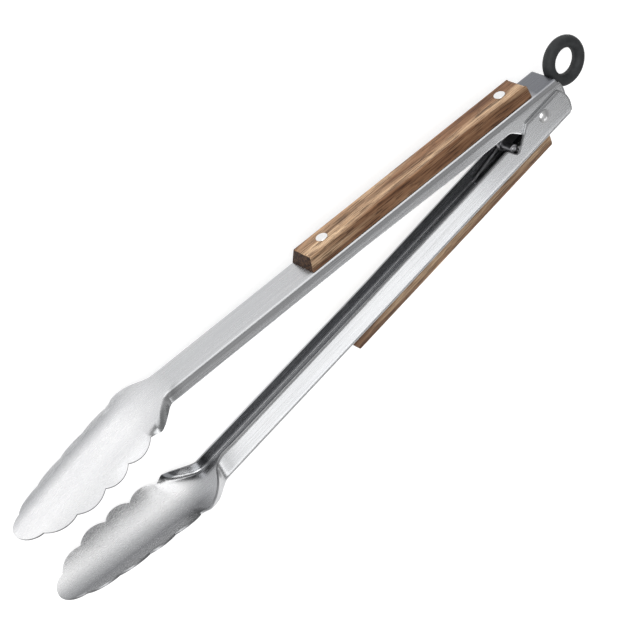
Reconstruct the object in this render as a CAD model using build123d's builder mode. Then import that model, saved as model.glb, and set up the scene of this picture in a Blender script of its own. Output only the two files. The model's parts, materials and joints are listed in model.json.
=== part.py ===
from build123d import *
import os
from math import asin, cos, hypot, radians, sin

# Spring loaded kitchen tongs, lying on their side.  All sizes in millimetres.
# Row frame: +X from the hinge towards the tips, +Z along the pivot rivet, Z = 0 is the table.
# Arm frame (one stamping, used twice): x along the arm from the pivot, y outwards through the
# web, z across the arm.  The flange on the +z side is tall, the one on the -z side is short.

sheet = 1.0                  # stainless sheet
channel_width = 19.8         # outside the two flanges
bend = 2.6                   # outer bend radius
web_out = 12.4               # pivot axis to the web's outer face
tall_edge = -1.8             # free edge of the tall flange, beyond the pivot line
short_edge = 6.2             # free edge of the short flange at the neck
short_edge_rear = 4.4        # the same flange beside the ear
ear_edge = -5.3              # inner edge of both ears
ear_gap = 0.1                # running gap between the two ears on each side
open_angle = 9.05            # between the arms, spring open
rear_web = -14.2             # rear end of the web
rear_ear = -16.8             # rear bulge of the ears
channel_end = 243.5          # where the channel runs into the head

nest = (sheet + ear_gap) / 2         # each arm sits this far off the middle plane
half_open = open_angle / 2
web_in = web_out - sheet

# head: station x, spine y, edge y, half width, fullness of the curve, spread past the edge
head_stations = [
    (241.5, 12.4, 6.2, 9.9, 14.0, 0.0),
    (244.0, 12.4, 6.2, 10.9, 12.0, 0.0),
    (247.0, 12.3, 6.2, 13.2, 9.0, 0.0),
    (250.0, 12.2, 6.2, 15.6, 7.2, 0.0),
    (253.0, 12.0, 6.1, 18.0, 5.8, 0.0),
    (257.6, 11.6, 6.0, 21.3, 4.4, 0.0),
    (263.0, 10.9, 5.6, 20.6, 3.0, 3.0),
    (270.0, 9.6, 4.3, 20.0, 2.5, 3.4),
    (278.0, 8.0, 2.8, 19.6, 2.2, 3.4),
    (285.5, 6.5, 1.3, 19.5, 2.1, 3.4),
    (293.0, 4.8, -0.3, 19.3, 2.0, 3.4),
    (301.0, 3.0, -1.7, 18.6, 2.0, 3.4),
    (309.6, 1.1, -2.9, 17.3, 2.0, 3.4),
    (317.5, -0.7, -3.8, 14.6, 2.0, 3.4),
    (325.4, -2.6, -4.6, 11.4, 2.0, 3.4),
    (335.5, -5.0, -6.1, 9.0, 2.0, 3.4),
]
wing = (257.6, 21.3)                  # outer corner behind the first notch
notches = [(262.8, 19.0), (278.2, 19.6), (293.0, 19.3), (309.6, 17.3), (325.4, 10.8)]
lobe_bulge = 2.7
tip_x = 334.3

pin_x, pin_y = 22.5, 2.0              # lock roller in the tall flange's notch, arm frame
notch_radius = 2.3
roller_radius, roller_bore = 2.2, 1.22
lock_pin_radius = 1.15
lock_pin_half = 8.3

scale_rear, scale_front = 1.6, 150.0  # wooden scale along the arm
scale_base, scale_top = 17.0, 13.4
scale_thick = 7.0
scale_slope = 2.4                     # the front end leans back
scale_round = 2.6
rivet_places = (14.0, 134.5)
rivet_head_radius, rivet_head_thick = 3.0, 0.5
rivet_radius = 1.5
washer_radius, washer_thick = 3.6, 0.6
tail_radius, tail_thick = 2.3, 0.9

pivot_radius = 1.7
pivot_clear = 0.06
pivot_head_radius, pivot_head_rise = 3.5, 1.5
spacer_radius = 3.0
spacer_end = 8.2

wire_radius = 0.7
coil_radius = 4.2
coil_top, coil_bottom = -1.95, -7.2
spring_leg = 44.0
coil_turns = 3
leg_angle = 12.7                      # each leg, against +X

strip_thick = 1.5
strip_angle = 14.4                    # the lock strip's line, against +X
strip_side = -1.9                     # that line passes this far beside the pivot
ring_reach = 30.7                     # pivot to ring centre along the strip
strip_low, strip_high = -5.2, 2.9     # the strip's edges, across
lock_travel = 6.0
ring_core, ring_tube = 10.0, 3.25

mid_height = 22.7                     # middle plane above the table
pivot_x = -145.6                      # the pivot, with the origin under the middle of the tongs
far_place = Location((pivot_x, 0, mid_height + nest), (0, 0, half_open))
near_place = Location((pivot_x, 0, mid_height - nest), (180, 0, half_open))
middle_place = Location((pivot_x, 0, mid_height))
strip_place = Location((pivot_x, 0, mid_height), (0, 0, strip_angle))


def write(piece, name, place):
    placed = piece.part.moved(place)
    placed.label = name
    export_step(placed, f"parts/{name}.step")


def side_outline(tall):
    # the flange's side view; both sides share the ear and the rear arc
    with BuildSketch() as outline:
        with BuildLine():
            rear = ThreePointArc((rear_web, web_out + 0.5), (rear_ear, 3.6), (-14.7, -3.5))
            if tall:
                ramp = Polyline(
                    rear @ 1, (-12.7, ear_edge), (10.2, ear_edge), (14.3, -2.1), (21.0, 3.75)
                )
                seat = ThreePointArc(ramp @ 1, (pin_x + 0.2, pin_y + notch_radius), (24.4, 3.3))
                Polyline(
                    seat @ 1, (27.6, tall_edge), (236.0, tall_edge), (channel_end, 4.4),
                    (channel_end, web_out + 0.5), rear @ 0,
                )
            else:
                Polyline(
                    rear @ 1, (-12.7, ear_edge), (10.2, ear_edge), (14.5, -1.6),
                    (21.6, short_edge_rear - 0.2), (28.0, short_edge_rear),
                    (120.0, short_edge), (channel_end, short_edge),
                    (channel_end, web_out + 0.5), rear @ 0,
                )
        make_face()
    return outline


def head_points(station, depth):
    # one cross section of the head, from the -z edge to the +z edge, as (y, z) pairs;
    # depth 0 is the outer face, depth 1 the inner face
    spine, edge, half_width, fullness, spread = station
    reach = 1 + spread / half_width
    fall = spine - edge
    points = []
    for share in (0, 0.28, 0.5, 0.66, 0.78, 0.87, 0.94, 1.0):
        share = share * reach
        slope = fall * fullness * share ** (fullness - 1) / half_width
        length = hypot(1.0, slope)
        y = spine - fall * share**fullness - depth * sheet / length
        z = half_width * share - depth * sheet * slope / length
        points.append((y, z))
    left = [(y, -z) for y, z in reversed(points[1:])]
    return left + points


def make_head():
    with BuildPart() as head:
        for x, *station in head_stations:
            outer = head_points(station, 0)
            inner = head_points(station, 1)
            with BuildSketch(Plane.YZ.offset(x)):
                with BuildLine():
                    Spline(*outer)
                    Line(outer[-1], inner[-1])
                    Spline(*reversed(inner))
                    Line(inner[0], outer[0])
                make_face()
        loft(ruled=True)
        # the scalloped outline, seen square to the arm
        start = head_stations[0][0] - 1
        with BuildSketch(Plane.XZ.offset(-20)):
            with BuildLine():
                side = [(start, 30), (wing[0], 30), wing, notches[0]]
                for sign in (1, -1):
                    Polyline(*[(x, sign * z) for x, z in side])
                    for (x1, z1), (x2, z2) in zip(notches, notches[1:]):
                        along = hypot(x2 - x1, z2 - z1)
                        out_x = -(z2 - z1) / along * lobe_bulge
                        out_z = (x2 - x1) / along * lobe_bulge
                        ThreePointArc(
                            (x1, sign * z1),
                            ((x1 + x2) / 2 + out_x, sign * ((z1 + z2) / 2 + out_z)),
                            (x2, sign * z2),
                        )
                last_x, last_z = notches[-1]
                ThreePointArc((last_x, last_z), (tip_x, 0), (last_x, -last_z))
                Line((start, 30), (start, -30))
            make_face()
        extrude(amount=40, mode=Mode.INTERSECT)
    return head


def make_arm():
    with BuildPart() as envelope:
        with BuildSketch():
            add(side_outline(True).sketch)
        extrude(amount=channel_width / 2 + 1)
        with BuildSketch():
            add(side_outline(False).sketch)
        extrude(amount=-channel_width / 2 - 1)
    head = make_head()
    with BuildPart() as arm:
        with BuildSketch(Plane.YZ.offset(rear_ear - 1)):
            with Locations((web_out / 2 - 4, 0)):
                Rectangle(web_out + 8, channel_width)
            corners = faces().vertices().group_by(Axis.Y)[-1]
            fillet(corners, bend)
            with BuildSketch(Plane.YZ.offset(rear_ear - 1), mode=Mode.SUBTRACT):
                with Locations((web_in / 2 - 5, 0)):
                    Rectangle(web_in + 10, channel_width - 2 * sheet)
                fillet(faces().vertices().group_by(Axis.Y)[-1], bend - sheet)
        extrude(amount=channel_end - rear_ear + 1)
        add(envelope.part, mode=Mode.INTERSECT)
        add(head.part)
        Cylinder(pivot_radius + pivot_clear, channel_width + 4, mode=Mode.SUBTRACT)
        with Locations([(x, web_out, 0) for x in rivet_places]):
            Cylinder(rivet_radius, 6, rotation=(90, 0, 0), mode=Mode.SUBTRACT)
    return arm


def make_scale():
    # solid wooden slab with leaning sides and a rounded rear end
    with BuildPart() as scale:
        with BuildSketch(Plane.YZ.offset(scale_rear)):
            with BuildLine():
                Polyline(
                    (web_out, -scale_base / 2), (web_out, scale_base / 2),
                    (web_out + scale_thick, scale_top / 2),
                    (web_out + scale_thick, -scale_top / 2), close=True,
                )
            make_face()
        extrude(amount=scale_front - scale_rear)
        top = web_out + scale_thick
        with BuildSketch(Plane.XY.offset(-scale_base)):
            with BuildLine():
                Polyline(
                    (scale_front, web_out), (scale_front - scale_slope, top + 1),
                    (scale_front + 2, top + 1), (scale_front + 2, web_out), close=True,
                )
            make_face()
        extrude(amount=2 * scale_base, mode=Mode.SUBTRACT)
        rear_top = scale.edges().filter_by(Axis.Z).group_by(Axis.X)[0].sort_by(Axis.Y)[-1]
        fillet(rear_top, scale_round)
        with Locations([(x, web_out, 0) for x in rivet_places]):
            Cylinder(rivet_radius, 20, rotation=(90, 0, 0), mode=Mode.SUBTRACT)
    return scale


def make_scale_rivet(x):
    # flat shallow head on the wood, shank, and the upset tail inside the channel
    top = web_out + scale_thick
    tail = web_in - washer_thick
    with BuildPart() as rivet:
        with BuildSketch(Plane.XY):
            with BuildLine():
                Polyline(
                    (x, tail - tail_thick), (x + tail_radius - 0.5, tail - tail_thick),
                    (x + tail_radius, tail - tail_thick + 0.5), (x + tail_radius, tail),
                    (x + rivet_radius, tail), (x + rivet_radius, top),
                    (x + rivet_head_radius, top), (x + rivet_head_radius, top + 0.25),
                    (x + rivet_head_radius - 0.3, top + rivet_head_thick),
                    (x, top + rivet_head_thick), close=True,
                )
            make_face()
        revolve(axis=Axis((x, 0, 0), (0, 1, 0)))
    return rivet


def make_rivet_washer(x):
    with BuildPart() as washer:
        with Locations((x, web_in - washer_thick / 2, 0)):
            Cylinder(washer_radius, washer_thick, rotation=(90, 0, 0))
            Cylinder(rivet_radius, washer_thick + 1, rotation=(90, 0, 0), mode=Mode.SUBTRACT)
    return washer


def make_pivot_rivet():
    # shank with a low dome on each ear
    grip = channel_width / 2 + nest
    ball = (pivot_head_radius**2 + pivot_head_rise**2) / (2 * pivot_head_rise)
    half_turn = asin(pivot_head_radius / ball) / 2
    dome = (ball * sin(half_turn), grip + pivot_head_rise - ball * (1 - cos(half_turn)))
    with BuildPart() as rivet:
        with BuildSketch(Plane.XZ):
            with BuildLine():
                Line((0, -grip - pivot_head_rise), (0, grip + pivot_head_rise))
                ThreePointArc((0, grip + pivot_head_rise), dome, (pivot_head_radius, grip))
                Polyline(
                    (pivot_head_radius, grip), (pivot_radius, grip),
                    (pivot_radius, -grip), (pivot_head_radius, -grip),
                )
                ThreePointArc(
                    (pivot_head_radius, -grip), (dome[0], -dome[1]), (0, -grip - pivot_head_rise)
                )
            make_face()
        revolve(axis=Axis.Z)
    return rivet


def make_spacer(side):
    # tube on the rivet between an ear and the lock strip; side is +1 above, -1 below
    start = strip_thick / 2 + 0.15
    length = spacer_end - start
    with BuildPart() as spacer:
        with Locations((0, 0, side * (start + length / 2))):
            Cylinder(spacer_radius, length)
            Cylinder(pivot_radius + pivot_clear, length + 1, mode=Mode.SUBTRACT)
    return spacer


def make_spring():
    # coil round the lower spacer, each leg running tangentially to the inside of a web
    start_turn = 90 + leg_angle
    whole_turn = 360 * (coil_turns + 1) - 2 * start_turn
    steps = round(whole_turn / 30)
    along_coil = []
    for step in range(steps + 1):
        turn = radians(start_turn + whole_turn * step / steps)
        rise = coil_bottom + (coil_top - coil_bottom) * step / steps
        along_coil.append(Vector(coil_radius * cos(turn), coil_radius * sin(turn), rise))
    first_way = Vector(0, 1, 0).rotate(Axis.Z, start_turn)
    last_way = Vector(0, 1, 0).rotate(Axis.Z, start_turn + whole_turn)
    first_foot = along_coil[0] - first_way * spring_leg
    with BuildPart() as spring:
        with BuildLine():
            Line(first_foot, along_coil[0])
            Spline(*along_coil, tangents=(first_way, last_way), tangent_scalars=(0.5, 0.5))
            Line(along_coil[-1], along_coil[-1] + last_way * spring_leg)
        with BuildSketch(Plane(origin=first_foot, z_dir=first_way)):
            Circle(wire_radius)
        sweep()
    return spring


def make_lock_strip():
    # flat strip with the pivot's slot, an eye for the cross pin and a tail inside the ring
    pin_along, pin_across = strip_pin()
    middle = (strip_low + strip_high) / 2
    with BuildPart() as strip:
        with BuildSketch(Plane.XY.offset(-strip_thick / 2)):
            with Locations((-3.0, middle)):
                Rectangle(28.0, strip_high - strip_low)
            with BuildLine():
                Polyline(
                    (-12.0, strip_low), (-12.0, strip_high - 1.5),
                    (-ring_reach + ring_core, strip_side + 2.6),
                    (-ring_reach + ring_core, strip_side - 2.6), close=True,
                )
            make_face()
            with BuildLine():
                Polyline(
                    (10.5, strip_low), (10.5, strip_high),
                    (pin_along, pin_across + 3.2), (pin_along, pin_across - 3.2), close=True,
                )
            make_face()
            with Locations((pin_along, pin_across)):
                Circle(3.2)
                Circle(lock_pin_radius, mode=Mode.SUBTRACT)
            with Locations((lock_travel / 2, 0)):
                SlotOverall(lock_travel + 2 * (pivot_radius + 0.3), 2 * (pivot_radius + 0.15),
                            mode=Mode.SUBTRACT)
        extrude(amount=strip_thick)
    return strip


def strip_pin():
    # the cross pin's place in the strip's own frame
    turn = radians(half_open - strip_angle)
    return (
        pin_x * cos(turn) - pin_y * sin(turn),
        pin_x * sin(turn) + pin_y * cos(turn),
    )


def make_lock_pin():
    pin_along, pin_across = strip_pin()
    with BuildPart() as pin:
        with Locations((pin_along, pin_across, 0)):
            Cylinder(lock_pin_radius, 2 * lock_pin_half)
    return pin


def make_roller(side):
    pin_along, pin_across = strip_pin()
    start = strip_thick / 2 + 0.1
    length = lock_pin_half - 0.2 - start
    with BuildPart() as roller:
        with Locations((pin_along, pin_across, side * (start + length / 2))):
            Cylinder(roller_radius, length)
            Cylinder(roller_bore, length + 1, mode=Mode.SUBTRACT)
    return roller


def make_pull_ring():
    # round-section ring, moulded over the strip's tail, with a narrow band inside the hole
    inner = ring_core - ring_tube
    with BuildPart() as ring:
        with Locations((-ring_reach, strip_side, 0)):
            Torus(ring_core, ring_tube)
            Cylinder(inner + 0.12, 2 * ring_tube, mode=Mode.SUBTRACT)
        add(make_lock_strip().part, mode=Mode.SUBTRACT)
    return ring


os.makedirs("parts", exist_ok=True)

arm = make_arm()
write(arm, "far_arm", far_place)
write(arm, "near_arm", near_place)

scale = make_scale()
write(scale, "far_wood_scale", far_place)
write(scale, "near_wood_scale", near_place)

for end, x in zip(("rear", "front"), rivet_places):
    scale_rivet = make_scale_rivet(x)
    washer = make_rivet_washer(x)
    for side, place in (("far", far_place), ("near", near_place)):
        write(scale_rivet, f"{side}_{end}_rivet", place)
        write(washer, f"{side}_{end}_washer", place)

write(make_pivot_rivet(), "pivot_rivet", middle_place)
write(make_spacer(1), "upper_spacer", middle_place)
write(make_spacer(-1), "lower_spacer", middle_place)
write(make_spring(), "torsion_spring", middle_place)
write(make_lock_strip(), "lock_strip", strip_place)
write(make_lock_pin(), "lock_pin", strip_place)
write(make_roller(1), "upper_roller", strip_place)
write(make_roller(-1), "lower_roller", strip_place)
write(make_pull_ring(), "pull_ring", strip_place)
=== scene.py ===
import bpy
import json
from math import atan2, cos, hypot, pi, radians, sin
from mathutils import Matrix, Vector


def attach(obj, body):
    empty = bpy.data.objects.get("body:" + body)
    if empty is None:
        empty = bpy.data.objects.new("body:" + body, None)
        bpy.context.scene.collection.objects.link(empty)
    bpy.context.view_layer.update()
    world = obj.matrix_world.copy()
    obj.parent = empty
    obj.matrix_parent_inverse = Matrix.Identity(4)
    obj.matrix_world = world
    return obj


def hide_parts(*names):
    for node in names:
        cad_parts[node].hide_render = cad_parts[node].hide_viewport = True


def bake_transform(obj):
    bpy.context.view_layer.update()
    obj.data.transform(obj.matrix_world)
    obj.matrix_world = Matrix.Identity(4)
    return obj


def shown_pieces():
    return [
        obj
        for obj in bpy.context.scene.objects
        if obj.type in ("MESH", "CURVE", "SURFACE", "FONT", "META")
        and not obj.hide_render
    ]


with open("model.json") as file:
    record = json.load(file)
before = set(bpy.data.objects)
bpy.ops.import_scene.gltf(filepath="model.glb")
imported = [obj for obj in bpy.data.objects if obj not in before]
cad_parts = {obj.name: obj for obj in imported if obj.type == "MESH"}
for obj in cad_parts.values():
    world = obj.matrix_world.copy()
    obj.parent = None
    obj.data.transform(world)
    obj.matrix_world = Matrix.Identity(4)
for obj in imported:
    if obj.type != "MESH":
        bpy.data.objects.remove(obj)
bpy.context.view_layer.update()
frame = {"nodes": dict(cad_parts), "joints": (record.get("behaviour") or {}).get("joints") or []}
bpy.ops.object.select_all(action="DESELECT")
print("frame loaded")

mm = 0.001
hinge = next(j for j in frame["joints"] if j["name"] == "arm_hinge")
pivot = Vector(hinge["pos_m"])

# how each arm sits on the pivot: half the opening angle, half a sheet off the middle plane
armSeat = {"openHalf": radians(9.05 / 2), "nest": 0.55, "lockAngle": radians(14.4)}
turnUp = Matrix.Rotation(armSeat["openHalf"], 4, "Z")
farPlace = Matrix.Translation(pivot + Vector((0, 0, armSeat["nest"] * mm))) @ turnUp
nearPlace = (Matrix.Translation(pivot - Vector((0, 0, armSeat["nest"] * mm)))
             @ Matrix.Rotation(pi, 4, "X") @ turnUp)
lockPlace = Matrix.Translation(pivot) @ Matrix.Rotation(armSeat["lockAngle"], 4, "Z")
middlePlace = Matrix.Translation(pivot)
scaleDown = Matrix.Scale(mm, 4)


def between(table, x, column):
    # smooth value of a table's column at x; the rows run in order of their first number
    if x <= table[0][0]:
        return table[0][column]
    if x >= table[-1][0]:
        return table[-1][column]
    i = max(k for k in range(len(table) - 1) if table[k][0] <= x)
    x1, x2 = table[i][0], table[i + 1][0]
    y1, y2 = table[i][column], table[i + 1][column]
    before = table[max(i - 1, 0)]
    after = table[min(i + 2, len(table) - 1)]
    slope = (y2 - y1) / (x2 - x1)
    slopeIn = (y1 - before[column]) / (x1 - before[0]) if i > 0 else slope
    slopeOut = (after[column] - y2) / (after[0] - x2) if i + 2 < len(table) else slope
    startSlope = 0 if slope * slopeIn <= 0 else 2 * slope * slopeIn / (slope + slopeIn)
    endSlope = 0 if slope * slopeOut <= 0 else 2 * slope * slopeOut / (slope + slopeOut)
    t = (x - x1) / (x2 - x1)
    h = x2 - x1
    return (y1 * (1 + 2 * t) * (1 - t) ** 2 + startSlope * h * t * (1 - t) ** 2
            + y2 * t * t * (3 - 2 * t) + endSlope * h * t * t * (t - 1))


def straight(table, x, column):
    if x <= table[0][0]:
        return table[0][column]
    for a, b in zip(table, table[1:]):
        if x <= b[0]:
            return a[column] + (b[column] - a[column]) * (x - a[0]) / (b[0] - a[0])
    return table[-1][column]


pieceSlots = {}


def finishOf(piece, slotName):
    pieceSlots[piece.name] = slotName


def placed(piece, place, nodes, body, slotName):
    # the place goes into the mesh, so the object itself stays at the origin
    piece.data.transform(place @ scaleDown)
    piece.data.update()
    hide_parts(*nodes)
    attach(piece, body)
    finishOf(piece, slotName)
    return piece


def copyOf(piece, name):
    twin = piece.copy()
    twin.data = piece.data.copy()
    twin.name = name
    bpy.context.collection.objects.link(twin)
    return twin


def choose(piece):
    bpy.ops.object.select_all(action="DESELECT")
    piece.select_set(True)
    bpy.context.view_layer.objects.active = piece


def applyModifiers(piece):
    choose(piece)
    for modifier in list(piece.modifiers):
        bpy.ops.object.modifier_apply(modifier=modifier.name)


def smoothBy(piece, angle):
    choose(piece)
    bpy.ops.object.shade_smooth_by_angle(angle=radians(angle))


def keepPlace(piece):
    # the piece's own coordinates in millimetres, kept so that grain and brushing follow the piece
    own = piece.data.attributes.new("ownPlace", "FLOAT_VECTOR", "POINT")
    for i, vertex in enumerate(piece.data.vertices):
        own.data[i].vector = vertex.co
    return piece


# arms: one stamping, used twice
armSheet = {
    "thick": 1.0,
    "webOut": 12.4,
    "halfWidth": 9.9,
    "rearWeb": -14.2,
    "tipX": 334.3,
    "edgeRound": 0.14,
    "splay": 0.036,             # the flanges spring open a little between ear and neck
    "crownCurve": 0.0135,       # how fast the spoon falls away from its spine
    # x, spine height
    "spine": [(243, 12.4), (247, 12.35), (252, 12.15), (258, 11.55), (264, 10.75), (270, 9.6),
              (278, 8.0), (285.5, 6.5), (293, 4.8), (301, 3.0), (309.6, 1.1), (317.5, -0.7),
              (325.4, -2.6), (335.5, -5.0)],
    # x, corner z, fall of the crown there, edge z, edge y, length of the rounded corner
    "shortSide": [(243.0, 9.9, 0.0, 9.9, 6.2, 3.1), (245.0, 10.6, 0.1, 11.2, 6.25, 3.2),
                  (248.0, 12.6, 0.35, 14.1, 6.4, 3.2), (251.0, 14.9, 0.7, 17.0, 6.5, 3.1),
                  (254.5, 17.2, 1.3, 19.9, 6.4, 2.9), (257.6, 18.4, 2.1, 21.3, 6.1, 2.5),
                  (260.2, 18.0, 3.0, 20.2, 6.05, 2.0), (262.8, 17.6, 4.1, 19.0, 6.1, 1.4)],
    "tallSide": [(235.0, 9.9, 0.0, 9.9, -1.8, 3.1), (238.0, 9.9, 0.0, 10.0, -0.8, 3.1),
                 (240.5, 10.2, 0.0, 10.7, 0.4, 3.2), (244.0, 12.0, 0.2, 14.6, 1.9, 3.3),
                 (248.0, 14.8, 0.6, 18.4, 3.1, 3.2), (252.0, 17.2, 1.2, 20.3, 4.5, 3.0),
                 (257.6, 18.4, 2.1, 21.3, 6.0, 2.5), (260.2, 18.0, 3.0, 20.2, 6.0, 2.0),
                 (262.8, 17.6, 4.1, 19.0, 6.1, 1.4)],
    # free edge of each flange from the ear to the neck
    "tallEdge": [(-12.7, -5.3), (10.2, -5.3), (11.2, -4.9), (14.3, -2.1), (21.0, 3.75),
                 (21.8, 4.2), (22.7, 4.3), (23.6, 4.1), (24.4, 3.3), (27.2, -1.3), (28.2, -1.8),
                 (235.0, -1.8)],
    "shortEdge": [(-12.7, -5.3), (10.2, -5.3), (11.2, -4.9), (14.5, -1.6), (20.6, 3.5),
                  (22.6, 4.3), (28.0, 4.4), (120.0, 6.2), (243.0, 6.2)],
    "notches": [(262.8, 19.0), (278.2, 19.6), (293.0, 19.3), (309.6, 17.3), (325.4, 10.8)],
    "lobeBulge": 2.7,
    "tipHalf": 0.02,
    # the ears' rear edge: where it starts below, bulges and meets the web, as (x, y)
    "rearArc": [(-14.7, -3.5), (-16.8, 3.6), (-14.2, 12.0)],
    "rearWebLow": 10.5,         # above this height the rear edge runs straight across the web
    "rearSlant": (1.8, 2.0),    # below the arc: rise and run of the edge
    # how finely the sheet is divided: steps across, then rows along as (start, pitch, count)
    "acrossSteps": {"crown": 13, "bend": 9, "flange": 9},
    "rearX": -5.0,
    "rearRows": 12,
    "rowRuns": [(-5, 0.55, 62), (30, 6, 34), (233.5, 0.75, 39)],
    "uvPerMetre": 10,
}


def arcPoints(start, bulge, end, count):
    # points on the circle through two ends and a point over their middle
    ax, ay = start
    bx, by = bulge
    cx, cy = end
    d = 2 * (ax * (by - cy) + bx * (cy - ay) + cx * (ay - by))
    ux = ((ax * ax + ay * ay) * (by - cy) + (bx * bx + by * by) * (cy - ay)
          + (cx * cx + cy * cy) * (ay - by)) / d
    uy = ((ax * ax + ay * ay) * (cx - bx) + (bx * bx + by * by) * (ax - cx)
          + (cx * cx + cy * cy) * (bx - ax)) / d
    r = hypot(ax - ux, ay - uy)
    first = atan2(ay - uy, ax - ux)
    last = atan2(cy - uy, cx - ux)
    middle = atan2(by - uy, bx - ux)
    while last > first:
        last -= 2 * pi
    while middle > first:
        middle -= 2 * pi
    if middle < last:
        last += 2 * pi
    return [(ux + r * cos(first + (last - first) * k / count),
             uy + r * sin(first + (last - first) * k / count)) for k in range(count + 1)]


def headOutline():
    # the scalloped edge from the first notch to the tip, as (x, z) pairs
    line = []
    notches = armSheet["notches"]
    for (x1, z1), (x2, z2) in zip(notches, notches[1:]):
        along = hypot(x2 - x1, z2 - z1)
        bulge = ((x1 + x2) / 2 - (z2 - z1) / along * armSheet["lobeBulge"],
                 (z1 + z2) / 2 + (x2 - x1) / along * armSheet["lobeBulge"])
        line += arcPoints((x1, z1), bulge, (x2, z2), 14)[:-1]
    x1, z1 = notches[-1]
    tip = armSheet["tipX"]
    radius = (z1 * z1 + (tip - x1) ** 2) / (2 * (tip - x1))
    start = atan2(z1, x1 - (tip - radius))
    line += [(tip - radius + radius * cos(start * (1 - k / 18)), radius * sin(start * (1 - k / 18)))
             for k in range(19)]
    return line


def halfSection(x, table, flangeEdge, edgeZ):
    # (y, z) pairs from the spine out to the free edge: crown, rounded corner, flange
    spine = between(armSheet["spine"], x, 1)
    headX = armSheet["notches"][0][0]
    if x < headX:
        cornerZ = between(table, x, 1)
        fall = between(table, x, 2)
        endZ = between(table, x, 3)
        endY = between(table, x, 4)
        bend = between(table, x, 5)
        if x < table[0][0]:
            endY = straight(flangeEdge, x, 1)
            share = min(1.0, max(0.0, (x - 32) / 25)) * min(1.0, (table[0][0] - x) / 8)
            endZ += (spine - endY) * armSheet["splay"] * share
    else:
        share = min(1.0, (x - headX) / 9.0)
        curve = armSheet["crownCurve"] * (1 - (1 - share) ** 2 * 0.02)
        endZ = edgeZ
        endY = spine - curve * endZ * endZ
        cornerZ = endZ * 0.927
        fall = curve * cornerZ * cornerZ
        bend = 1.2 * min(1.0, endZ / 10)
    cornerY = spine - fall
    outZ, outY = endZ - cornerZ, endY - cornerY
    reach = hypot(outZ, outY)
    bend = min(bend, reach * 0.7)
    crownEnd = cornerZ - bend if cornerZ > 0 else 0
    points = []
    steps = armSheet["acrossSteps"]
    for k in range(steps["crown"] + 1):
        z = crownEnd * k / steps["crown"]
        points.append((spine - fall * (z / cornerZ) ** 2 if cornerZ > 0 else spine, z))
    a = points[-1]
    b = (cornerY + outY * bend / reach, cornerZ + outZ * bend / reach) if reach > 0 else a
    for k in range(1, steps["bend"] + 1):
        t = k / steps["bend"]
        w1, w2, w3 = (1 - t) ** 2, 2 * t * (1 - t), t * t
        points.append((w1 * a[0] + w2 * cornerY + w3 * b[0], w1 * a[1] + w2 * cornerZ + w3 * b[1]))
    for k in range(1, steps["flange"] + 1):
        t = k / steps["flange"]
        points.append((b[0] + (endY - b[0]) * t, b[1] + (endZ - b[1]) * t))
    return points


def rearEnd(y):
    # how far back the sheet goes at height y: straight across the web, bulging on the ears
    if y > armSheet["rearWebLow"]:
        return armSheet["rearWeb"]
    lowX, lowY = armSheet["rearArc"][0]
    rise, run = armSheet["rearSlant"]
    if y < lowY:
        return lowX + (lowY - y) / rise * run
    heights = [(height, x) for x, height in arcPoints(*armSheet["rearArc"], 24)]
    return straight(heights, y, 1)


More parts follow.
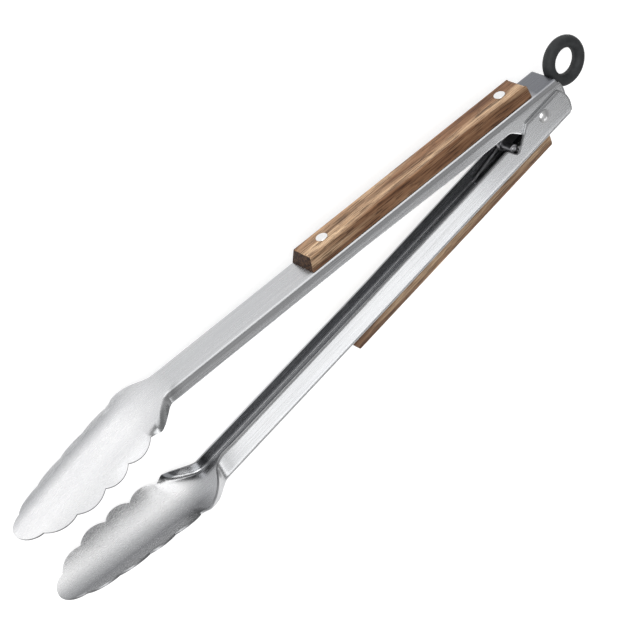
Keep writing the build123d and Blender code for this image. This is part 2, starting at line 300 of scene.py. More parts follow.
def buildArm(name):
    # a grid whose rows run across the sheet and whose columns follow it along
    rearX, rearRows = armSheet["rearX"], armSheet["rearRows"]
    rows = [("rear", k / rearRows) for k in range(rearRows, 0, -1)]
    xs = [start + k * pitch for start, pitch, count in armSheet["rowRuns"] for k in range(count)]
    rows += [("plain", x) for x in xs if x < armSheet["notches"][0][0] - 0.1]
    rows += [("head", p) for p in headOutline()]
    columns = 2 * sum(armSheet["acrossSteps"].values()) + 1
    bpy.ops.mesh.primitive_grid_add(x_subdivisions=len(rows) - 1, y_subdivisions=columns - 1,
                                    size=1)
    arm = bpy.context.active_object
    arm.name = name
    across = []
    for r, (kind, value) in enumerate(rows):
        if kind == "head":
            x, edgeZ = value[0], max(value[1], armSheet["tipHalf"])
        else:
            x, edgeZ = (rearX if kind == "rear" else value), 0
        tall = halfSection(x, armSheet["tallSide"], armSheet["tallEdge"], edgeZ)
        short = halfSection(x, armSheet["shortSide"], armSheet["shortEdge"], edgeZ)
        line = [(y, -z) for y, z in reversed(short)] + tall[1:]
        travelled = 0
        lengths = []
        for c, (y, z) in enumerate(line):
            if c:
                travelled += hypot(y - line[c - 1][0], z - line[c - 1][1])
            lengths.append(travelled)
            px = x
            if kind == "rear":
                px = rearX + value * (rearEnd(y) - rearX)
            arm.data.vertices[c * len(rows) + r].co = (px, y, z)
        middle = lengths[len(short) - 1]
        across.append([s - middle for s in lengths])
    uv = arm.data.uv_layers.active.data
    uvScale = mm * armSheet["uvPerMetre"]
    for loop in arm.data.loops:
        c, r = divmod(loop.vertex_index, len(rows))
        uv[loop.index].uv = (arm.data.vertices[loop.vertex_index].co.x * uvScale,
                             across[r][c] * uvScale)
    arm.data.update()
    choose(arm)
    bpy.ops.object.mode_set(mode="EDIT")
    bpy.ops.mesh.select_all(action="SELECT")
    bpy.ops.mesh.remove_doubles(threshold=0.001)
    bpy.ops.mesh.normals_make_consistent(inside=False)
    bpy.ops.object.mode_set(mode="OBJECT")
    for slotNumber in range(3):
        arm.data.materials.append(bpy.data.materials.new("armSheetBlank"))
    onWeb = Vector((120, armSheet["webOut"], 0))
    middleFace = min(arm.data.polygons, key=lambda f: (f.center - onWeb).length)
    if middleFace.normal.y < 0:
        bpy.ops.object.mode_set(mode="EDIT")
        bpy.ops.mesh.select_all(action="SELECT")
        bpy.ops.mesh.flip_normals()
        bpy.ops.object.mode_set(mode="OBJECT")
    wall = arm.modifiers.new("sheet", "SOLIDIFY")
    wall.thickness = armSheet["thick"]
    wall.offset = -1
    wall.use_even_offset = True
    wall.thickness_clamp = 0
    wall.use_rim = True
    wall.material_offset = 2
    wall.material_offset_rim = 1
    edge = arm.modifiers.new("edge", "BEVEL")
    edge.width = armSheet["edgeRound"]
    edge.segments = 2
    edge.limit_method = "ANGLE"
    edge.angle_limit = radians(50)
    applyModifiers(arm)
    smoothBy(arm, 40)
    return keepPlace(arm)


farArm = buildArm("farArmSheet")
nearArm = copyOf(farArm, "nearArmSheet")
placed(farArm, farPlace, ["far_arm"], "far_side", "stainless")
placed(nearArm, nearPlace, ["near_arm"], "near_side", "stainless")
print("arms done", len(farArm.data.polygons))


def turned(name, profile, place, segments=64):
    # a lathe-turned piece: the profile (radius, height) is spun round the place's Z
    bpy.ops.object.select_all(action="DESELECT")
    bpy.ops.mesh.primitive_plane_add(size=1)
    piece = bpy.context.active_object
    piece.name = name
    bpy.ops.object.mode_set(mode="EDIT")
    bpy.ops.mesh.select_all(action="SELECT")
    bpy.ops.mesh.merge(type="CENTER")
    points = [Vector((r, 0, h)) for r, h in profile]
    bpy.ops.transform.translate(value=points[0])
    for before, after in zip(points, points[1:]):
        bpy.ops.mesh.extrude_vertices_move(TRANSFORM_OT_translate={"value": after - before})
    bpy.ops.mesh.select_all(action="SELECT")
    bpy.ops.mesh.spin(steps=segments, angle=2 * pi, center=(0, 0, 0), axis=(0, 0, 1))
    bpy.ops.mesh.select_all(action="SELECT")
    bpy.ops.mesh.remove_doubles(threshold=0.0005)
    bpy.ops.mesh.normals_make_consistent(inside=False)
    bpy.ops.object.mode_set(mode="OBJECT")
    piece.data.transform(place)
    smoothBy(piece, 35)
    return piece


# wooden scales
woodScale = {"rear": 1.6, "front": 150.0, "base": 17.0, "top": 13.4, "thick": 7.0,
             "frontLean": 2.4, "rearRound": 2.6}


def buildScale():
    bpy.ops.object.select_all(action="DESELECT")
    bpy.ops.mesh.primitive_cube_add(size=1)
    scale = bpy.context.active_object
    scale.name = "farScaleWood"
    low = armSheet["webOut"]
    for vertex in scale.data.vertices:
        front, upper, side = (value > 0 for value in vertex.co)
        vertex.co.x = woodScale["front"] - (woodScale["frontLean"] if upper else 0) \
            if front else woodScale["rear"]
        vertex.co.y = low + (woodScale["thick"] if upper else 0)
        vertex.co.z = (1 if side else -1) * (woodScale["top"] if upper else woodScale["base"]) / 2
    weights = scale.data.attributes.new("bevel_weight_edge", "FLOAT", "EDGE")
    for edge in scale.data.edges:
        a, b = (scale.data.vertices[i].co for i in edge.vertices)
        rearTop = max(a.x, b.x) < woodScale["rear"] + 1 and min(a.y, b.y) > low + 1
        baseEdge = max(a.y, b.y) < low + 1
        weights.data[edge.index].value = 1.0 if rearTop else (0.08 if baseEdge else 0.2)
    rounding = scale.modifiers.new("rounding", "BEVEL")
    rounding.limit_method = "WEIGHT"
    rounding.width = woodScale["rearRound"]
    rounding.segments = 6
    applyModifiers(scale)
    smoothBy(scale, 30)
    for slotNumber in range(2):
        scale.data.materials.append(bpy.data.materials.new("scaleBlank"))
    for face in scale.data.polygons:
        face.material_index = 1 if abs(face.normal.x) > 0.75 else 0
    return keepPlace(scale)


farScale = buildScale()
nearScale = copyOf(farScale, "nearScaleWood")
placed(farScale, farPlace, ["far_wood_scale"], "far_side", "oiled_wood")
placed(nearScale, nearPlace, ["near_wood_scale"], "near_side", "oiled_wood")

# rivets through the scales: head, shank and upset tail in one turned piece
scaleRivet = {"places": (14.0, 134.5), "head": 3.0, "shank": 1.5, "tail": 2.3,
              "washer": 3.6, "washerThick": 0.6, "washerEdge": 0.1}
acrossWeb = Matrix.Rotation(-pi / 2, 4, "X")


def rivetProfile():
    top = armSheet["webOut"] + woodScale["thick"]
    tail = armSheet["webOut"] - armSheet["thick"] - scaleRivet["washerThick"]
    head, shank, spread = scaleRivet["head"], scaleRivet["shank"], scaleRivet["tail"]
    return [(0, tail - 0.9), (1.2, tail - 0.86), (1.9, tail - 0.7), (2.25, tail - 0.35),
            (spread, tail), (shank, tail), (shank, top),
            (head, top), (head, top + 0.18), (head - 0.06, top + 0.32),
            (head - 0.2, top + 0.43), (head - 0.42, top + 0.48), (head * 0.62, top + 0.46),
            (head * 0.56, top + 0.42), (head * 0.3, top + 0.4), (0, top + 0.4)]


def washerProfile():
    top = armSheet["webOut"] - armSheet["thick"]
    low = top - scaleRivet["washerThick"]
    bore, r, edge = scaleRivet["shank"], scaleRivet["washer"], scaleRivet["washerEdge"]
    return [(bore, low), (r - edge, low), (r, low + edge), (r, top - edge), (r - edge, top),
            (bore, top), (bore, low)]


for end, along in zip(("rear", "front"), scaleRivet["places"]):
    spot = Matrix.Translation((along, 0, 0)) @ acrossWeb
    for side, place in (("far", farPlace), ("near", nearPlace)):
        rivet = keepPlace(turned(side + end.title() + "RivetTurned", rivetProfile(), spot))
        placed(rivet, place, [side + "_" + end + "_rivet"], side + "_side", "scale_rivet")
        washer = keepPlace(turned(side + end.title() + "WasherTurned", washerProfile(), spot, 48))
        placed(washer, place, [side + "_" + end + "_washer"], side + "_side", "washer_steel")
print("scales and rivets done")

# pivot rivet with its two domes
pivotRivet = {"head": 3.5, "rise": 1.5, "shortSideShade": 0.2, "shank": 1.7,
              "grip": armSheet["halfWidth"] + armSeat["nest"]}
capRise = pivotRivet["rise"] - pivotRivet["shortSideShade"]
capRadius = (pivotRivet["head"] ** 2 + capRise ** 2) / (2 * capRise)
capAngle = atan2(pivotRivet["head"], capRadius - capRise)
capTop = pivotRivet["grip"] + pivotRivet["rise"]
dome = [(capRadius * sin(capAngle * step / 16),
         capTop - capRadius * (1 - cos(capAngle * step / 16))) for step in range(17)]
dome.append((pivotRivet["head"], pivotRivet["grip"]))
upperHalf = dome + [(pivotRivet["shank"], pivotRivet["grip"])]
profile = upperHalf + [(r, -h) for r, h in reversed(upperHalf)]
pivotPiece = keepPlace(turned("pivotRivetTurned", profile, Matrix.Identity(4), 72))
placed(pivotPiece, middlePlace, ["pivot_rivet"], "far_side", "pivot_steel")

# tubes: two spacers on the rivet, two rollers on the cross pin, and the cross pin itself
# spacer and roller: bore, outer radius, start, end; pin: radius, half length
tubes = {"spacer": (1.76, 3.0, 0.9, 8.2), "roller": (1.22, 2.2, 0.85, 8.1), "pin": (1.15, 8.3),
         "pinEdge": 0.2, "tubeEdge": 0.12, "pinAlong": 22.5, "pinAside": 2.0}
pinTurn = armSeat["openHalf"] - armSeat["lockAngle"]
pinSpot = (tubes["pinAlong"] * cos(pinTurn) - tubes["pinAside"] * sin(pinTurn),
           tubes["pinAlong"] * sin(pinTurn) + tubes["pinAside"] * cos(pinTurn), 0)


def tubeProfile(bore, outer, start, end):
    e = tubes["tubeEdge"]
    return [(bore, start + e), (bore + e, start), (outer - e, start), (outer, start + e),
            (outer, end - e), (outer - e, end), (bore + e, end), (bore, end - e), (bore, start + e)]


for side, way in (("upper", 0), ("lower", pi)):
    flip = Matrix.Rotation(way, 4, "X")
    spacer = keepPlace(turned(side + "SpacerTube", tubeProfile(*tubes["spacer"]), flip, 48))
    placed(spacer, middlePlace, [side + "_spacer"], "far_side", "spacer_tube")
    spot = Matrix.Translation(pinSpot) @ flip
    roller = keepPlace(turned(side + "RollerTube", tubeProfile(*tubes["roller"]), spot, 48))
    placed(roller, lockPlace, [side + "_roller"], side + "_roller", "roller_tube")
pinRadius, pinHalf = tubes["pin"]
pinEdge = tubes["pinEdge"]
pinEnd = [(0, pinHalf), (pinRadius - pinEdge, pinHalf), (pinRadius, pinHalf - pinEdge)]
profile = pinEnd + [(r, -h) for r, h in reversed(pinEnd)]
crossPin = keepPlace(turned("crossPinTurned", profile, Matrix.Translation(pinSpot), 48))
placed(crossPin, lockPlace, ["lock_pin"], "lock_slider", "lock_steel")
print("turned pieces done")

# pull ring, moulded, with its seam ridge and the narrow band inside the hole
pullRing = {"reach": (-30.7, -1.9), "core": 10.0, "tube": 3.25, "seam": 0.06,
            "seamHalf": 0.2, "holeBand": 0.12}
bpy.ops.object.select_all(action="DESELECT")
bpy.ops.mesh.primitive_torus_add(major_radius=pullRing["core"], minor_radius=pullRing["tube"],
                                 major_segments=144, minor_segments=56)
ring = bpy.context.active_object
ring.name = "pullRingMoulded"
for vertex in ring.data.vertices:
    radius = hypot(vertex.co.x, vertex.co.y)
    low = pullRing["core"] - pullRing["tube"] + pullRing["holeBand"]
    wanted = max(radius, low)
    if abs(vertex.co.z) < pullRing["seamHalf"] and radius > pullRing["core"]:
        wanted += pullRing["seam"]
    vertex.co.x *= wanted / radius
    vertex.co.y *= wanted / radius
ring.data.transform(Matrix.Translation((*pullRing["reach"], 0)))
smoothBy(ring, 60)
keepPlace(ring)
placed(ring, lockPlace, ["pull_ring"], "lock_slider", "ring_rubber")

# torsion spring: one round wire along leg, coil and leg
springWire = {"wire": 0.7, "coil": 4.2, "top": -1.95, "bottom": -7.2, "leg": 44.0,
              "turns": 3, "legAngle": 12.7, "steps": 144, "legSteps": 24}
firstTurn = radians(90 + springWire["legAngle"])
wholeTurn = radians(360 * (springWire["turns"] + 1)) - 2 * firstTurn
line = []
for step in range(springWire["steps"] + 1):
    share = step / springWire["steps"]
    turn = firstTurn + wholeTurn * share
    height = springWire["bottom"] + (springWire["top"] - springWire["bottom"]) * share
    line.append(Vector((springWire["coil"] * cos(turn), springWire["coil"] * sin(turn), height)))
firstWay = Vector((-sin(firstTurn), cos(firstTurn), 0))
lastTurn = firstTurn + wholeTurn
lastWay = Vector((-sin(lastTurn), cos(lastTurn), 0))
legCount = springWire["legSteps"]
legSteps = [springWire["leg"] * k / legCount for k in range(legCount, 0, -1)]
line = ([line[0] - firstWay * s for s in legSteps] + line
        + [line[-1] + lastWay * s for s in reversed(legSteps)])
wire = bpy.data.curves.new("springWire", "CURVE")
wire.dimensions = "3D"
path = wire.splines.new("POLY")
path.points.add(len(line) - 1)
for point, spot in zip(path.points, line):
    point.co = (*spot, 1)
wire.bevel_depth = springWire["wire"]
wire.bevel_resolution = 5
wire.use_fill_caps = True
spring = bpy.data.objects.new("torsionSpringWire", wire)
bpy.context.collection.objects.link(spring)
choose(spring)
bpy.ops.object.convert(target="MESH")
smoothBy(spring, 50)
keepPlace(spring)
spring.data.transform(middlePlace @ scaleDown)
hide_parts("torsion_spring")
side = Vector((0, springWire["coil"] * mm, 0))
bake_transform(spring)
finishOf(spring, "spring_wire")
print("ring and spring done")


# lock strip: a blank with the rivet's slot, an eye for the cross pin and a tail into the ring
lockStrip = {"edge": 0.15}
stripPiece = copyOf(frame["nodes"]["lock_strip"], "lockStripBlank")
stripPiece.parent = None
stripPiece.matrix_world = Matrix.Identity(4)
choose(stripPiece)
bpy.ops.object.mode_set(mode="EDIT")
bpy.ops.mesh.select_all(action="SELECT")
bpy.ops.mesh.remove_doubles(threshold=0.000001)
bpy.ops.mesh.dissolve_limited(angle_limit=radians(1))
bpy.ops.object.mode_set(mode="OBJECT")
edge = stripPiece.modifiers.new("edge", "BEVEL")
edge.width = lockStrip["edge"] * mm
edge.segments = 2
edge.limit_method = "ANGLE"
edge.angle_limit = radians(50)
applyModifiers(stripPiece)
smoothBy(stripPiece, 30)
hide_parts("lock_strip")
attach(stripPiece, "lock_slider")
finishOf(stripPiece, "lock_steel")
own = stripPiece.data.attributes.new("ownPlace", "FLOAT_VECTOR", "POINT")
back = lockPlace.inverted()
for i, vertex in enumerate(stripPiece.data.vertices):
    own.data[i].vector = (back @ vertex.co) / mm
print("lock strip done")


def newMaterial(name):
    material = bpy.data.materials.new(name)
    material.use_nodes = True
    nodes = material.node_tree.nodes
    shader = nodes["Principled BSDF"]
    return material, nodes, material.node_tree.links, shader


def ownCoordinates(nodes, links, stretch):
    # the piece's own millimetres, stretched so a noise of scale 1 has that grain
    place = nodes.new("ShaderNodeAttribute")
    place.attribute_name = "ownPlace"
    mapping = nodes.new("ShaderNodeMapping")
    mapping.inputs["Scale"].default_value = stretch
    links.new(place.outputs["Vector"], mapping.inputs["Vector"])
    return mapping.outputs["Vector"]


def ownAxes(nodes, links):
    # the piece's own millimetres as three numbers
    place = nodes.new("ShaderNodeAttribute")
    place.attribute_name = "ownPlace"
    split = nodes.new("ShaderNodeSeparateXYZ")
    links.new(place.outputs["Vector"], split.inputs["Vector"])
    return split.outputs["X"], split.outputs["Y"], split.outputs["Z"]


def noise(nodes, links, vector, detail=4.0, rough=0.6):
    texture = nodes.new("ShaderNodeTexNoise")
    texture.inputs["Scale"].default_value = 1.0
    texture.inputs["Detail"].default_value = detail
    texture.inputs["Roughness"].default_value = rough
    links.new(vector, texture.inputs["Vector"])
    return texture.outputs["Fac"]


def ramp(nodes, links, source, stops):
    colours = nodes.new("ShaderNodeValToRGB")
    elements = colours.color_ramp.elements
    while len(elements) < len(stops):
        elements.new(0.5)
    for element, (position, colour) in zip(elements, stops):
        element.position = position
        element.color = (*colour, 1)
    links.new(source, colours.inputs["Fac"])
    return colours.outputs["Color"]


def levels(nodes, links, source, low, high, fromLow=0.3, fromHigh=0.7):
    span = nodes.new("ShaderNodeMapRange")
    span.inputs["From Min"].default_value = fromLow
    span.inputs["From Max"].default_value = fromHigh
    span.inputs["To Min"].default_value = low
    span.inputs["To Max"].default_value = high
    links.new(source, span.inputs["Value"])
    return span.outputs["Result"]


def combine(nodes, links, operation, first, second, third=None):
    # a math node; each input is a socket or a number
    node = nodes.new("ShaderNodeMath")
    node.operation = operation
    for socket, value in zip(node.inputs, (first, second, third)):
        if isinstance(value, bpy.types.NodeSocket):
            links.new(value, socket)
        elif value is not None:
            socket.default_value = value
    return node.outputs["Value"]


def mixColour(nodes, links, blendType, amount, first, second):
    mix = nodes.new("ShaderNodeMix")
    mix.data_type = "RGBA"
    mix.blend_type = blendType
    for socket, value in ((mix.inputs[0], amount), (mix.inputs[6], first), (mix.inputs[7], second)):
        if isinstance(value, bpy.types.NodeSocket):
            links.new(value, socket)
        elif isinstance(value, tuple):
            socket.default_value = (*value, 1)
        else:
            socket.default_value = value
    return mix.outputs[2]


def bump(nodes, links, source, strength, distance, shader, before=None):
    relief = nodes.new("ShaderNodeBump")
    relief.inputs["Strength"].default_value = strength
    relief.inputs["Distance"].default_value = distance
    links.new(source, relief.inputs["Height"])
    if before:
        links.new(before, relief.inputs["Normal"])
    if shader:
        links.new(relief.outputs["Normal"], shader.inputs["Normal"])
    return relief.outputs["Normal"]


def steel(name, colour, roughLow, roughHigh, stretch, relief=0.05, cloud=(0.02, 0.04, 0.04)):
    # brushed metal: fine lines along the stretch and slow clouding
    material, nodes, links, shader = newMaterial(name)
    lines = noise(nodes, links, ownCoordinates(nodes, links, stretch), 3.0, 0.55)
    clouds = noise(nodes, links, ownCoordinates(nodes, links, cloud), 2.0, 0.5)
    lighter = tuple(min(1.0, c * 1.04) for c in colour)
    darker = tuple(c * 0.93 for c in colour)
    tone = ramp(nodes, links, lines, [(0.3, darker), (0.5, colour), (0.75, lighter)])
    cloudTone = ramp(nodes, links, clouds, [(0.3, (0.94, 0.94, 0.95)), (0.7, (1.0, 1.0, 1.0))])
    clouded = mixColour(nodes, links, "MULTIPLY", 1.0, tone, cloudTone)
    links.new(clouded, shader.inputs["Base Color"])
    links.new(levels(nodes, links, lines, roughLow, roughHigh), shader.inputs["Roughness"])
    shader.inputs["Metallic"].default_value = 1.0
    bump(nodes, links, lines, relief, 0.00002, shader)
    return material


def stainless(name, inside):
    # lengthwise brushing, with painted light: a painted sheen makes the heads brighter and a
    # painted shade makes their tall side greyer
    material, nodes, links, shader = newMaterial(name)
    lines = noise(nodes, links, ownCoordinates(nodes, links, (0.02, 1.5, 1.5)), 1.5, 0.5)
    coarse = noise(nodes, links, ownCoordinates(nodes, links, (0.07, 1.1, 1.1)), 3.0, 0.6)
    clouds = noise(nodes, links, ownCoordinates(nodes, links, (0.015, 0.05, 0.05)), 2.0, 0.5)
    ownX, ownY, ownZ = ownAxes(nodes, links)
    headStart, headFull = (247.0, 257.0) if inside else (236.0, 268.0)
    onHead = levels(nodes, links, ownX, 0.0, 1.0, headStart, headFull)
    # painted sheen: the heads' outside gets a brighter base colour
    headPaintedLight = ramp(nodes, links, lines, [(0.3, (0.71, 0.71, 0.72)), (0.7, (0.77, 0.77, 0.77))])
    if inside:
        # painted shade: the inside is a darker copy of the steel, and across the inside of the
        # spoons a painted light on the own -z side fades to painted shade on the +z side
        plain = ramp(nodes, links, lines,
                     [(0.3, (0.36, 0.365, 0.375)), (0.7, (0.41, 0.415, 0.425))])
        across = levels(nodes, links, ownZ, 0.0, 1.0, -20.0, 20.0)
        headPaintedLight = ramp(nodes, links, across,
                      [(0.1, (0.98, 0.98, 0.98)), (0.3, (0.82, 0.82, 0.82)),
                       (0.5, (0.42, 0.425, 0.43)), (0.7, (0.17, 0.173, 0.18))])
    else:
        plain = ramp(nodes, links, lines, [(0.3, (0.445, 0.45, 0.46)), (0.7, (0.49, 0.495, 0.5))])
    tone = mixColour(nodes, links, "MIX", onHead, plain, headPaintedLight)
    # painted shade: the neck's wall is darkened, most of all inside, in place of its shade and dark
    # reflections
    flare = levels(nodes, links, ownX, 0.0, 11.0, 238.0, 258.0)
    wall = levels(nodes, links, combine(nodes, links, "ADD", ownZ, flare), 1.0, 0.0, -8.2, -6.4)
    fadeStart, fadeEnd = (258.5, 262.5) if inside else (260.5, 266.0)
    for limit in (levels(nodes, links, ownX, 0.0, 1.0, 234.0, 240.0),
                  levels(nodes, links, ownX, 1.0, 0.0, fadeStart, fadeEnd)):
        wall = combine(nodes, links, "MULTIPLY", wall, limit)
    if inside:
        tone = mixColour(nodes, links, "MIX", wall, tone, (0.06, 0.062, 0.065))
    else:
        tone = mixColour(nodes, links, "MIX", wall, tone, (0.3, 0.305, 0.31))
        # painted shade: greyer towards the short side's edge, most on the heads
        shortSideShade = levels(nodes, links, ownZ, 0.45, 0.0, -20.0, -8.0)
        tone = mixColour(nodes, links, "MIX", shortSideShade, tone, (0.42, 0.425, 0.43))
        # painted shade: a grey band with a wavy edge along the heads' tall side
        wavy = combine(nodes, links, "MULTIPLY_ADD", coarse, 9.0, ownZ)
        tallSide = levels(nodes, links, wavy, 0.0, 1.0, 6.5, 17.0)
        paintedShadeBand = combine(nodes, links, "MULTIPLY", onHead, tallSide)
        paintedShadeGrey = ramp(nodes, links, coarse, [(0.3, (0.2, 0.205, 0.215)), (0.7, (0.42, 0.425, 0.435))])
        tone = mixColour(nodes, links, "MIX", paintedShadeBand, tone, paintedShadeGrey)
        # painted reflection: the web's rear end is darkened as a dark reflection
        onWeb = levels(nodes, links, ownY, 0.0, 1.0, 11.3, 12.2)
        atRear = levels(nodes, links, ownX, 0.85, 0.0, -2.0, 5.0)
        rearPaintedReflection = combine(nodes, links, "MULTIPLY", onWeb, atRear)
        tone = mixColour(nodes, links, "MIX", rearPaintedReflection, tone, (0.1, 0.105, 0.12))
    cloudTone = ramp(nodes, links, clouds, [(0.3, (0.93, 0.93, 0.94)), (0.7, (1.0, 1.0, 1.0))])
    clouded = mixColour(nodes, links, "MULTIPLY", 1.0, tone, cloudTone)
    links.new(clouded, shader.inputs["Base Color"])
    links.new(levels(nodes, links, lines, 0.23, 0.3), shader.inputs["Roughness"])
    shader.inputs["Metallic"].default_value = 1.0
    bump(nodes, links, lines, 0.015, 0.00003, shader)
    return material


def sheared(name):
    # cut edges with a rougher finish: bright along the arms; darker round the heads, a painted dark
    # outline
    material, nodes, links, shader = newMaterial(name)
    lines = noise(nodes, links, ownCoordinates(nodes, links, (0.6, 3.0, 3.0)), 3.0, 0.55)
    headOutlineShade = levels(nodes, links, ownAxes(nodes, links)[0], 0.0, 1.0, 226.0, 244.0)
    tone = mixColour(nodes, links, "MIX", headOutlineShade, (0.5, 0.505, 0.51), (0.25, 0.253, 0.26))
    grainTone = ramp(nodes, links, lines, [(0.3, (0.88, 0.88, 0.88)), (0.7, (1.0, 1.0, 1.0))])
    grained = mixColour(nodes, links, "MULTIPLY", 1.0, tone, grainTone)
    links.new(grained, shader.inputs["Base Color"])
    links.new(levels(nodes, links, lines, 0.35, 0.5), shader.inputs["Roughness"])
    shader.inputs["Metallic"].default_value = 1.0
    bump(nodes, links, lines, 0.04, 0.00002, shader)
    return material


def wood(name, endGrain):
    material, nodes, links, shader = newMaterial(name)
    # end grain has no long direction, so its grids are the same on every axis
    evenGrid = (0.9, 0.9, 0.9) if endGrain else None
    grids = [evenGrid or (0.008, 0.11, 0.11), evenGrid or (0.02, 0.42, 0.42),
             evenGrid or (0.06, 2.4, 2.4), (2.6, 2.6, 2.6) if endGrain else (0.1, 2.5, 2.5)]
    wander, figure, fibre, pores = (
        noise(nodes, links, ownCoordinates(nodes, links, grid), detail, rough)
        for grid, detail, rough in zip(grids, (2.0, 4.0, 3.0, 3.0), (0.5, 0.62, 0.6, 0.55)))
    tone = ramp(nodes, links, figure, [(0.3, (0.09, 0.038, 0.018)), (0.43, (0.165, 0.078, 0.038)),
                                       (0.55, (0.25, 0.13, 0.068)), (0.72, (0.35, 0.205, 0.115))])
    pale = ramp(nodes, links, fibre, [(0.3, (0.36, 0.21, 0.115)), (0.65, (0.74, 0.54, 0.35))])
    # the board's paler stripe runs along one side of the scale
    ownZ = ownAxes(nodes, links)[2]
    stripe = ramp(nodes, links, levels(nodes, links, ownZ, 0.0, 1.0, -8.0, 3.0),
                  [(0.0, (0, 0, 0)), (0.42, (1, 1, 1)), (0.85, (0, 0, 0))])
    lean = combine(nodes, links, "MULTIPLY_ADD", stripe, 0.14, wander)
    toned = mixColour(nodes, links, "MIX", levels(nodes, links, lean, 0.0, 0.85, 0.48, 0.66),
                      tone, pale)
    fibreTone = ramp(nodes, links, fibre, [(0.3, (0.7, 0.66, 0.62)), (0.62, (1.08, 1.08, 1.08))])
    toned = mixColour(nodes, links, "MULTIPLY", 0.85, toned, fibreTone)
    poreMask = levels(nodes, links, pores, 1.0, 0.0, 0.4, 0.46)
    toned = mixColour(nodes, links, "MIX", levels(nodes, links, poreMask, 0.0, 0.72, 0.0, 1.0),
                      toned, (0.022, 0.008, 0.004))
    if endGrain:
        toned = mixColour(nodes, links, "MULTIPLY", 1.0, toned, (0.12, 0.09, 0.075))
    else:
        # painted shade: the sloped side faces are darkened
        outward = combine(nodes, links, "ABSOLUTE", ownZ, None)
        slope = levels(nodes, links, outward, 1.0, 0.7, 6.65, 6.9)
        toned = mixColour(nodes, links, "MULTIPLY", 1.0, toned, slope)
    links.new(toned, shader.inputs["Base Color"])
    links.new(levels(nodes, links, fibre, 0.45, 0.62), shader.inputs["Roughness"])
    shader.inputs["Specular IOR Level"].default_value = 0.2
    first = bump(nodes, links, fibre, 0.25, 0.00006, None)
    bump(nodes, links, poreMask, -0.4, 0.00012, shader, first)
    return material


def rubber(name):
    material, nodes, links, shader = newMaterial(name)
    grain = noise(nodes, links, ownCoordinates(nodes, links, (3.2, 3.2, 3.2)), 4.0, 0.65)
    dust = noise(nodes, links, ownCoordinates(nodes, links, (0.35, 0.35, 0.35)), 3.0, 0.55)
    tone = ramp(nodes, links, dust, [(0.3, (0.012, 0.0135, 0.0145)), (0.7, (0.021, 0.023, 0.0245))])
    links.new(tone, shader.inputs["Base Color"])
    links.new(levels(nodes, links, grain, 0.55, 0.72), shader.inputs["Roughness"])
    shader.inputs["Specular IOR Level"].default_value = 0.35
    bump(nodes, links, grain, 0.18, 0.00008, shader)
    return material


finishes = {
    "stainless": stainless("satinStainlessAndPaintedLight", False),
    "oiled_wood": wood("oiledWoodWithSideShade", False),
    "scale_rivet": steel("pressedAluminium", (0.74, 0.74, 0.74), 0.28, 0.36, (1.6, 1.6, 1.6)),
    "washer_steel": steel("zincWasher", (0.6, 0.6, 0.6), 0.3, 0.45, (1.2, 1.2, 1.2)),
    "pivot_steel": steel("pivotSteel", (0.6, 0.6, 0.6), 0.3, 0.36, (1.0, 1.0, 1.0), 0.02),
    "spacer_tube": steel("spacerTube", (0.55, 0.55, 0.55), 0.3, 0.42, (4.0, 4.0, 0.2)),
    "spring_wire": steel("springWire", (0.5, 0.5, 0.51), 0.25, 0.4, (2.0, 2.0, 2.0)),
    "lock_steel": steel("lockSteel", (0.34, 0.34, 0.35), 0.28, 0.42, (0.1, 4.0, 4.0)),
    "roller_tube": steel("rollerTube", (0.24, 0.24, 0.25), 0.25, 0.4, (4.0, 4.0, 0.3)),
    "ring_rubber": rubber("charcoalRubber"),
}
shearedEdgeAndPaintedOutline = sheared("shearedEdgeAndPaintedOutline")
endGrain = wood("oiledEndGrain", True)
insideShadedSteel = stainless("insidePaintedShade", True)
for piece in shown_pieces():
    if "Wood" in piece.name:
        piece.data.materials[0], piece.data.materials[1] = finishes["oiled_wood"], endGrain
    elif "ArmSheet" in piece.name:
        for number, finish in enumerate((finishes["stainless"], shearedEdgeAndPaintedOutline, insideShadedSteel)):
            piece.data.materials[number] = finish
    else:
        piece.data.materials.clear()
        piece.data.materials.append(finishes[pieceSlots[piece.name]])
print("materials done")

# floor, light and camera
bpy.ops.object.select_all(action="DESELECT")
bpy.ops.mesh.primitive_plane_add(size=6, location=(0, 0, 0))
floor = bpy.context.active_object
floor.name = "paleFloor"
floorPaint, nodes, links, shader = newMaterial("paleFloorPaint")
shader.inputs["Base Color"].default_value = (0.6, 0.6, 0.6, 1)
shader.inputs["Roughness"].default_value = 0.85
shader.inputs["Specular IOR Level"].default_value = 0.0
shader.inputs["Emission Color"].default_value = (1.0, 1.0, 1.0, 1)
shader.inputs["Emission Strength"].default_value = 0.62
floor.data.materials.append(floorPaint)

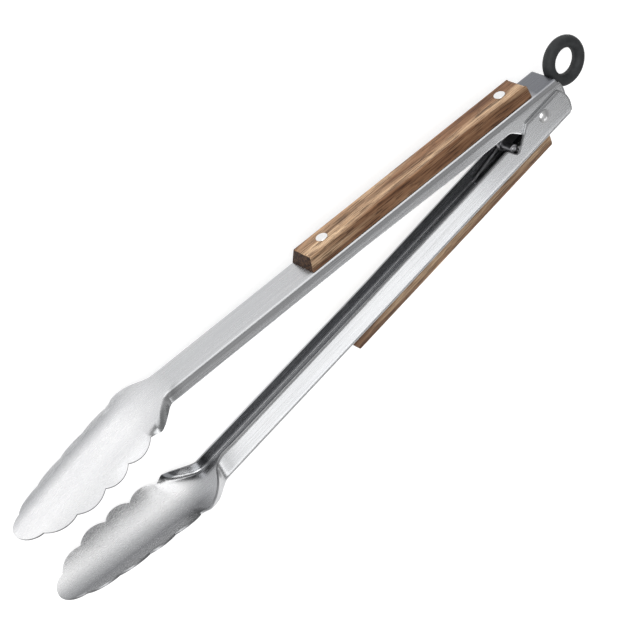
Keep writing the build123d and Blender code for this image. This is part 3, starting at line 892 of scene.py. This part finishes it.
# name, place, aim, width, height, power
studio = {
    "lamps": [
        ("keyLamp", (1.35, -1.1, 2.3), (0.0, 0.0, 0.0), 2.2, 2.2, 62.0),
        ("sideLamp", (-0.55, -1.7, 0.62), (0.0, 0.0, 0.05), 1.9, 1.15, 9.0),
        ("backLamp", (-0.31, 1.16, 1.06), (-0.1, 0.0, 0.0), 1.1, 0.34, 3.1),
    ],
    "sky": [(0.0, 1.0), (0.5, 1.0), (0.56, 0.62), (0.66, 0.42), (0.88, 0.36), (1.0, 0.6)],
}
for name, spot, aim, width, height, power in studio["lamps"]:
    bpy.ops.object.light_add(type="AREA", location=spot)
    lamp = bpy.context.active_object
    lamp.name = name
    lamp.data.shape = "RECTANGLE"
    lamp.data.size = width
    lamp.data.size_y = height
    lamp.data.energy = power
    lamp.rotation_euler = (Vector(spot) - Vector(aim)).to_track_quat("Z", "Y").to_euler()
world = bpy.data.worlds.new("studioSky")
world.use_nodes = True
nodes, links = world.node_tree.nodes, world.node_tree.links
direction = nodes.new("ShaderNodeTexCoord")
split = nodes.new("ShaderNodeSeparateXYZ")
links.new(direction.outputs["Generated"], split.inputs["Vector"])
heightShare = levels(nodes, links, split.outputs["Z"], 0.0, 1.0, -1.0, 1.0)
skyTone = ramp(nodes, links, heightShare, [(h, (v, v, v)) for h, v in studio["sky"]])
links.new(skyTone, nodes["Background"].inputs["Color"])
nodes["Background"].inputs["Strength"].default_value = 1.0
bpy.context.scene.world = world
bpy.context.scene.view_settings.view_transform = "Standard"

cameraSeat = {"from": (0.4859, -0.6568, 0.8017), "right": (-0.6971, 0.3835, 0.6057),
              "up": (-0.6493, -0.696, -0.3066), "back": (0.304, -0.607, 0.7342), "lens": 128.05}
bpy.ops.object.camera_add()
camera = bpy.context.active_object
right, up, back = (Vector(cameraSeat[k]).normalized() for k in ("right", "up", "back"))
turn = Matrix((right, up, back)).transposed().to_4x4()
camera.matrix_world = Matrix.Translation(pivot + Vector(cameraSeat["from"])) @ turn
camera.data.lens = cameraSeat["lens"]
camera.data.sensor_width = 36
camera.data.clip_end = 20
bpy.context.scene.camera = camera
print("camera done")
